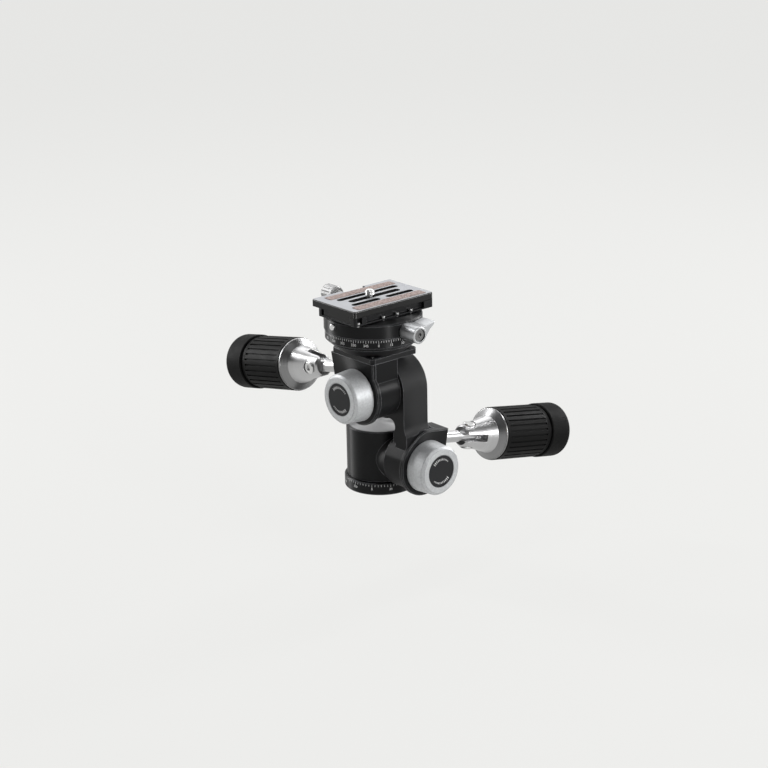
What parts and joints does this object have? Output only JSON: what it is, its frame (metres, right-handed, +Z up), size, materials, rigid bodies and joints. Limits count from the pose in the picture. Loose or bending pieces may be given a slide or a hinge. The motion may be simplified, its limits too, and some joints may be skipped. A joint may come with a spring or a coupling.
{
  "type": "geared tripod head",
  "caption": "Geared tripod head: panning base, offset arm, crossed worm-driven tilt axes with folding crank grips and friction knobs, and a panning platform with a quick-release plate.",
  "frame": {"origin": "centre of the base's underside, at the mouth of the 3/8 inch tripod thread", "axes": "+Z up through the base, +X along the lower tilt axis toward its friction knob, -Y along the upper tilt axis toward its friction knob"},
  "size_m": [0.181, 0.1856, 0.1484],
  "materials": {
    "anodised_black": "black anodised, fine turned",
    "plate_grey": "grey anodised, bead blasted",
    "satin_silver": "satin",
    "polished_cone": "polished",
    "steel": "ground",
    "dark_screw": "blackened",
    "bronze": "machined",
    "black_rubber": "moulded",
    "cork_rubber": "fine grained",
    "black_plastic": "fine grained",
    "white_plastic": "plain"
  },
  "bodies": {
    "base": {"base_flange": "anodised_black", "thread_insert": "steel", "pan_retainer": "steel", "retainer_screws": "dark_screw"},
    "pan_body": {"base_housing": "anodised_black", "base_cap": "anodised_black", "pan_washer": "white_plastic", "lock_pad": "bronze", "axle_b": "steel", "worm_wheel_b": "bronze", "clutch_washer_b": "steel"},
    "pan_lock": {"lock_knob": "satin_silver", "lock_screw": "steel"},
    "roll_body": {"arm": "anodised_black", "arm_cap": "anodised_black", "axle_bush_b": "bronze", "worm_bushes_b": "bronze", "front_plate_b": "anodised_black", "front_screws_b": "dark_screw", "axle_a": "steel", "worm_wheel_a": "bronze", "clutch_washer_a": "steel"},
    "clutch_b": {"friction_knob_b": "satin_silver", "knob_disc_b": "black_plastic"},
    "worm_b_shaft": {"worm_b": "steel"},
    "handle_b": {"handle_cone_b": "polished_cone", "handle_pin_b": "steel", "grip_sleeve_b": "black_rubber", "grip_cap_b": "black_rubber"},
    "pitch_body": {"head_housing": "anodised_black", "axle_bush_a": "bronze", "worm_bushes_a": "bronze", "front_plate_a": "anodised_black", "front_screws_a": "dark_screw", "top_plate": "anodised_black", "top_screws": "dark_screw", "neck_cone": "anodised_black", "platform_retainer": "steel"},
    "clutch_a": {"friction_knob_a": "satin_silver", "knob_disc_a": "black_plastic"},
    "worm_a_shaft": {"worm_a": "steel"},
    "handle_a": {"handle_cone_a": "polished_cone", "handle_pin_a": "steel", "grip_sleeve_a": "black_rubber", "grip_cap_a": "black_rubber"},
    "platform": {"scale_ring": "anodised_black", "pan_disc": "anodised_black", "clamp_base": "anodised_black", "clamp_screws": "dark_screw", "foot_screws": "steel", "button_spring": "steel"},
    "lever": {"pan_lever": "satin_silver", "lever_screw": "steel"},
    "jaw": {"moving_jaw": "anodised_black"},
    "jaw_knob": {"clamp_knob": "satin_silver", "jaw_spindle": "steel"},
    "plate": {"camera_plate": "plate_grey", "grip_strips": "cork_rubber"},
    "thumb_screw": {"camera_screw": "steel"},
    "button": {"release_button": "steel"}
  },
  "joints": [
    {"name": "base_pan", "type": "hinge", "parent": "base", "child": "pan_body", "pos_m": [0, 0, 0], "axis": [0, 0, 1], "continuous": true},
    {"name": "pan_lock_turn", "type": "hinge", "parent": "pan_body", "child": "pan_lock", "pos_m": [0, 0, 0.0135], "axis": [-0.7071, 0.7071, 0], "range_deg": [-180, 0]},
    {"name": "roll_b", "type": "hinge", "parent": "pan_body", "child": "roll_body", "pos_m": [0, 0, 0.0255], "axis": [1, 0, 0], "range_deg": [-30, 90]},
    {"name": "clutch_b_turn", "type": "hinge", "parent": "pan_body", "child": "clutch_b", "pos_m": [0, 0, 0.0255], "axis": [1, 0, 0], "range_deg": [0, 120]},
    {"name": "worm_b_turn", "type": "hinge", "parent": "roll_body", "child": "worm_b_shaft", "pos_m": [0.0375, 0.00305, 0.04121], "axis": [0, 0.9816, -0.1908], "range_deg": [-3240, 1080]},
    {"name": "handle_b_fold", "type": "hinge", "parent": "worm_b_shaft", "child": "handle_b", "pos_m": [0.0375, 0.04723, 0.03262], "axis": [0, -0.1908, -0.9816], "range_deg": [0, 60]},
    {"name": "pitch_a", "type": "hinge", "parent": "roll_body", "child": "pitch_body", "pos_m": [0.0203, 0, 0.078], "axis": [0, 1, 0], "range_deg": [-30, 80]},
    {"name": "clutch_a_turn", "type": "hinge", "parent": "roll_body", "child": "clutch_a", "pos_m": [0.0203, 0, 0.078], "axis": [0, -1, 0], "range_deg": [0, 120]},
    {"name": "worm_a_turn", "type": "hinge", "parent": "pitch_body", "child": "worm_a_shaft", "pos_m": [0.01725, -0.0268, 0.09371], "axis": [-0.9816, 0, -0.1908], "range_deg": [-1080, 2880]},
    {"name": "handle_a_fold", "type": "hinge", "parent": "worm_a_shaft", "child": "handle_a", "pos_m": [-0.03183, -0.0268, 0.08417], "axis": [0, 1, 0], "range_deg": [0, 60]},
    {"name": "platform_pan", "type": "hinge", "parent": "pitch_body", "child": "platform", "pos_m": [0.015, -0.0167, 0.1214], "axis": [0, 0, 1], "continuous": true},
    {"name": "lever_turn", "type": "hinge", "parent": "platform", "child": "lever", "pos_m": [0.015, -0.0167, 0.1241], "axis": [1, 0, 0], "range_deg": [-25, 65]},
    {"name": "clamp_turn", "type": "hinge", "parent": "jaw", "child": "jaw_knob", "pos_m": [0, -0.0167, 0.1343], "axis": [-1, 0, 0], "range_deg": [0, 900]},
    {"name": "jaw_slide", "type": "slide", "parent": "platform", "child": "jaw", "axis": [-1, 0, 0], "range_m": [0, 0.0018]},
    {"name": "plate_slide", "type": "slide", "parent": "platform", "child": "plate", "axis": [0, 1, 0], "range_m": [-0.015, 0.015]},
    {"name": "camera_screw_turn", "type": "hinge", "parent": "plate", "child": "thumb_screw", "pos_m": [0.0162, -0.0202, 0.1414], "axis": [0, 0, 1], "continuous": true},
    {"name": "button_press", "type": "slide", "parent": "platform", "child": "button", "axis": [0, 1, 0], "range_m": [0, 0.0012], "stiffness_N_per_m": 600, "springref_m": -0.0015, "deforming": ["button_spring"]}
  ],
  "couplings": [
    {"joint": "worm_b_turn", "follows": "roll_b", "ratio": -36},
    {"joint": "worm_a_turn", "follows": "pitch_a", "ratio": 36},
    {"joint": "jaw_slide", "follows": "clamp_turn", "m_per_rad": 0.00011141}
  ]
}
